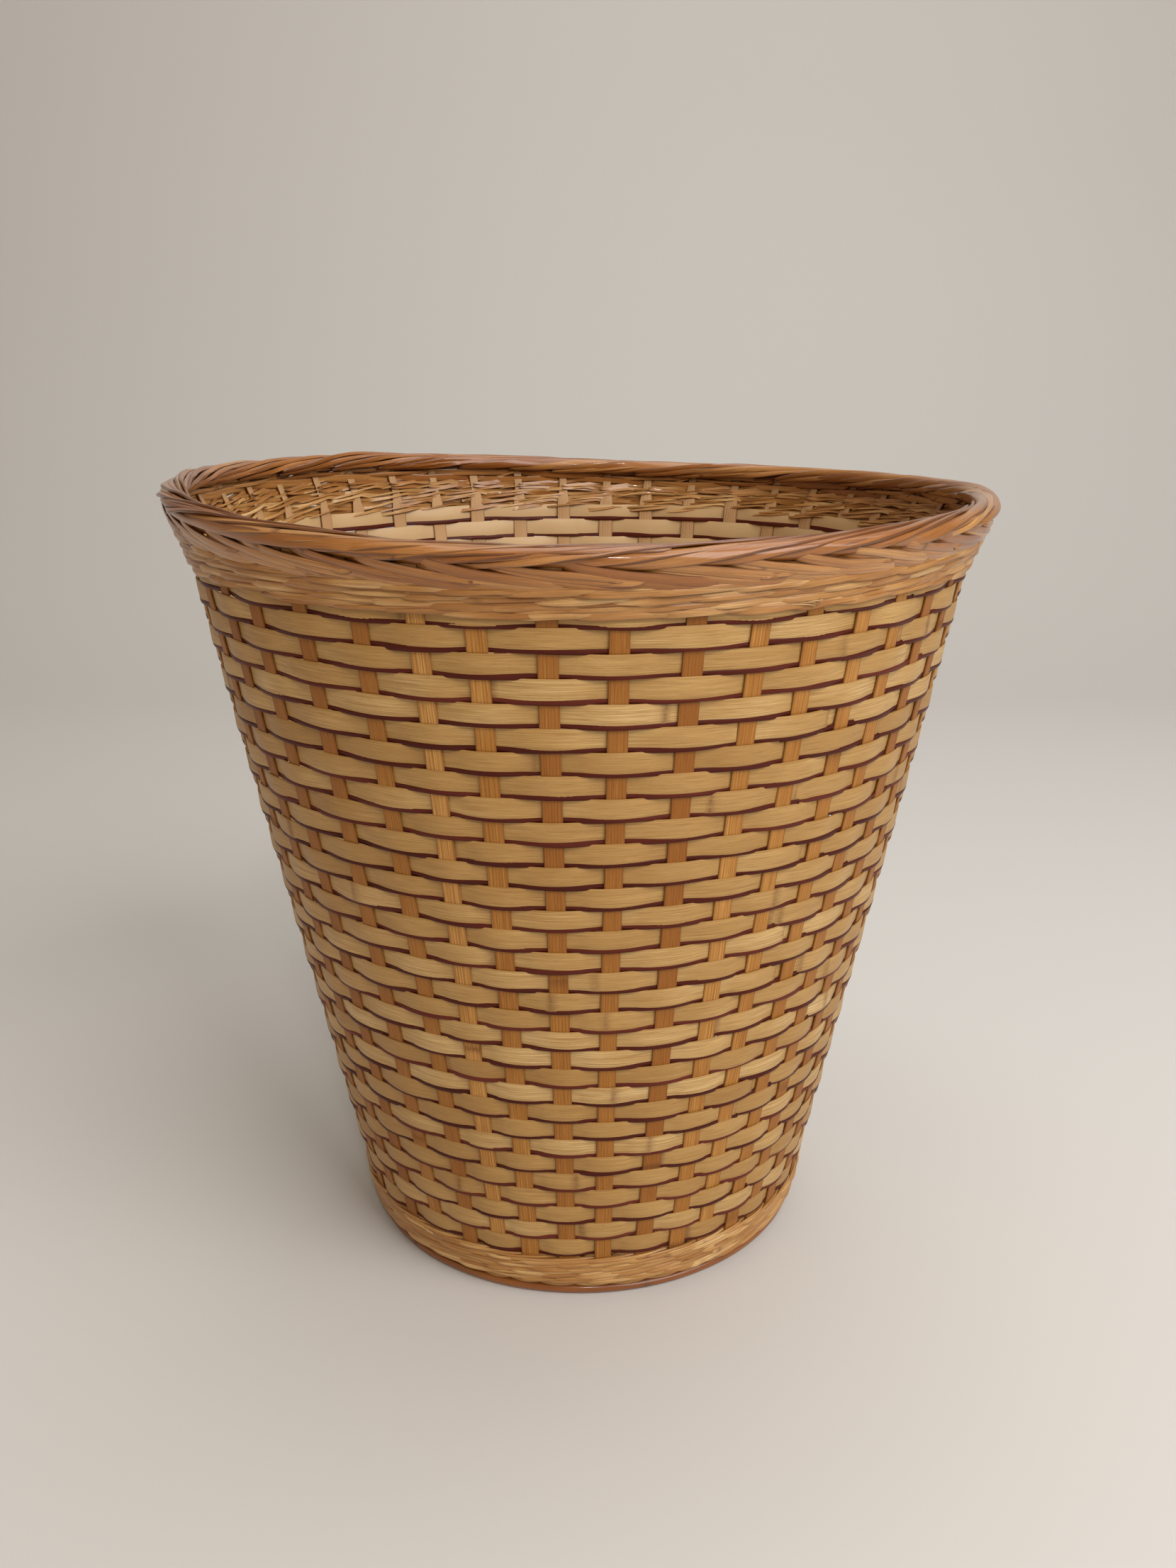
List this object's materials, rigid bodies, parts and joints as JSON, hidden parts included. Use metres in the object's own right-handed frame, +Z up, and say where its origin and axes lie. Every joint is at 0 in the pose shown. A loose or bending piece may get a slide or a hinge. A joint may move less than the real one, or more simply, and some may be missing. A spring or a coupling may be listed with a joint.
{
  "type": "woven splint basket",
  "caption": "Round tapered waste-paper basket, plaited from flat splints over upright stakes, with a rolled rim and a foot hoop; open at the top to hold light things.",
  "frame": {"origin": "on the floor, under the middle of the rim", "axes": "+Z up out of the mouth; -Y is the front, +X the right side seen from the front"},
  "size_m": [0.3134, 0.3134, 0.3066],
  "materials": {
    "pale_splint": "varnished pale bamboo splint, fine lengthwise fibres",
    "dark_splint": "dyed dark maroon splint, varnished",
    "stake_splint": "orange-brown ribbed splint, varnished",
    "border_splint": "orange-brown splint, glossy varnish",
    "foot_splint": "pale thin splint, varnished",
    "hoop_rod": "red-brown cane rod, varnished"
  },
  "bodies": {
    "root": {"base_twining": "foot_splint", "border_roll": "border_splint", "border_slant_row": "border_splint", "dark_splints_rows_01_04": "dark_splint", "dark_splints_rows_05_08": "dark_splint", "dark_splints_rows_09_12": "dark_splint", "dark_splints_rows_13_16": "dark_splint", "dark_splints_rows_17_20": "dark_splint", "dark_splints_rows_21_24": "dark_splint", "dark_splints_rows_25_28": "dark_splint", "dark_splints_rows_29_32": "dark_splint", "foot_hoop": "hoop_rod", "foot_rope": "foot_splint", "foot_twining_1": "foot_splint", "foot_twining_2": "foot_splint", "foot_twining_3": "foot_splint", "foot_twining_4": "foot_splint", "long_splints_front_back": "stake_splint", "long_splints_left_right": "stake_splint", "top_twining_1": "border_splint", "top_twining_2": "border_splint", "top_twining_3": "border_splint", "top_twining_4": "border_splint", "weaver_row_01": "pale_splint", "weaver_row_02": "pale_splint", "weaver_row_03": "pale_splint", "weaver_row_04": "pale_splint", "weaver_row_05": "pale_splint", "weaver_row_06": "pale_splint", "weaver_row_07": "pale_splint", "weaver_row_08": "pale_splint", "weaver_row_09": "pale_splint", "weaver_row_10": "pale_splint", "weaver_row_11": "pale_splint", "weaver_row_12": "pale_splint", "weaver_row_13": "pale_splint", "weaver_row_14": "pale_splint", "weaver_row_15": "pale_splint", "weaver_row_16": "pale_splint", "weaver_row_17": "pale_splint", "weaver_row_18": "pale_splint", "weaver_row_19": "pale_splint", "weaver_row_20": "pale_splint", "weaver_row_21": "pale_splint", "weaver_row_22": "pale_splint", "weaver_row_23": "pale_splint", "weaver_row_24": "pale_splint", "weaver_row_25": "pale_splint", "weaver_row_26": "pale_splint", "weaver_row_27": "pale_splint", "weaver_row_28": "pale_splint", "weaver_row_29": "pale_splint", "weaver_row_30": "pale_splint", "weaver_row_31": "pale_splint", "weaver_row_32": "pale_splint"}
  },
  "joints": []
}
